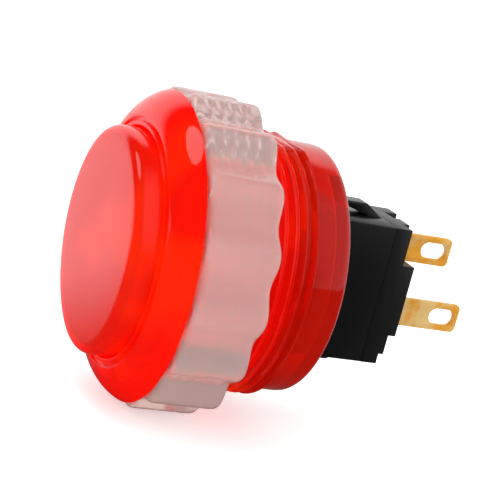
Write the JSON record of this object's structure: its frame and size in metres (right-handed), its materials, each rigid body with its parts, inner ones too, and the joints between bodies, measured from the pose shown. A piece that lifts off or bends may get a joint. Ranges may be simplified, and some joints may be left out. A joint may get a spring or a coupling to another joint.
{
  "type": "screw-in push button",
  "caption": "Round translucent push button with a rounded bezel, a threaded barrel, a lobed clear ring nut and a snap-in switch with two slotted solder tabs.",
  "frame": {"origin": "on the button's axis, in the plane of the bezel's underside, which is the face that seats on the front of the panel", "axes": "+Y from the plunger's face towards the solder tabs, along the axis; +Z across the switch's height, towards the upper tab; +X out of the switch's broad face"},
  "size_m": [0.0354, 0.0461, 0.0354],
  "materials": {
    "bezel_red": "gloss translucent",
    "nut_clear": "clear, gloss",
    "cap_red": "gloss translucent",
    "plunger_red": "satin translucent",
    "switch_black": "fine satin",
    "cover_black": "fine satin",
    "actuator_plastic": "satin",
    "spring_steel": "drawn wire",
    "bridge_bronze": "rolled",
    "contact_silver": "satin",
    "tab_brass": "tarnished"
  },
  "bodies": {
    "base": {"housing": "bezel_red", "switch_case": "switch_black", "switch_cover": "cover_black", "fixed_rivets": "contact_silver", "terminal_upper": "tab_brass", "terminal_lower": "tab_brass"},
    "nut": {"ring_nut": "nut_clear"},
    "plunger": {"plunger_cap": "cap_red", "plunger_body": "plunger_red"},
    "actuator": {"switch_actuator": "actuator_plastic", "bridge_contact": "bridge_bronze", "bridge_rivets": "contact_silver", "return_spring": "spring_steel"}
  },
  "joints": [
    {"name": "press", "type": "slide", "parent": "base", "child": "plunger", "axis": [0, 1, 0], "range_m": [0, 0.0022], "stiffness_N_per_m": 300, "springref_m": -0.004},
    {"name": "actuator_slide", "type": "slide", "parent": "base", "child": "actuator", "axis": [0, 1, 0], "range_m": [0, 0.0022], "stiffness_N_per_m": 100, "springref_m": -0.002, "deforming": ["return_spring"]},
    {"name": "nut_spin", "type": "hinge", "parent": "base", "child": "nut", "pos_m": [0, 0.0045, 0], "axis": [0, 1, 0], "continuous": true}
  ],
  "couplings": [
    {"joint": "actuator_slide", "follows": "press", "ratio": 1}
  ]
}
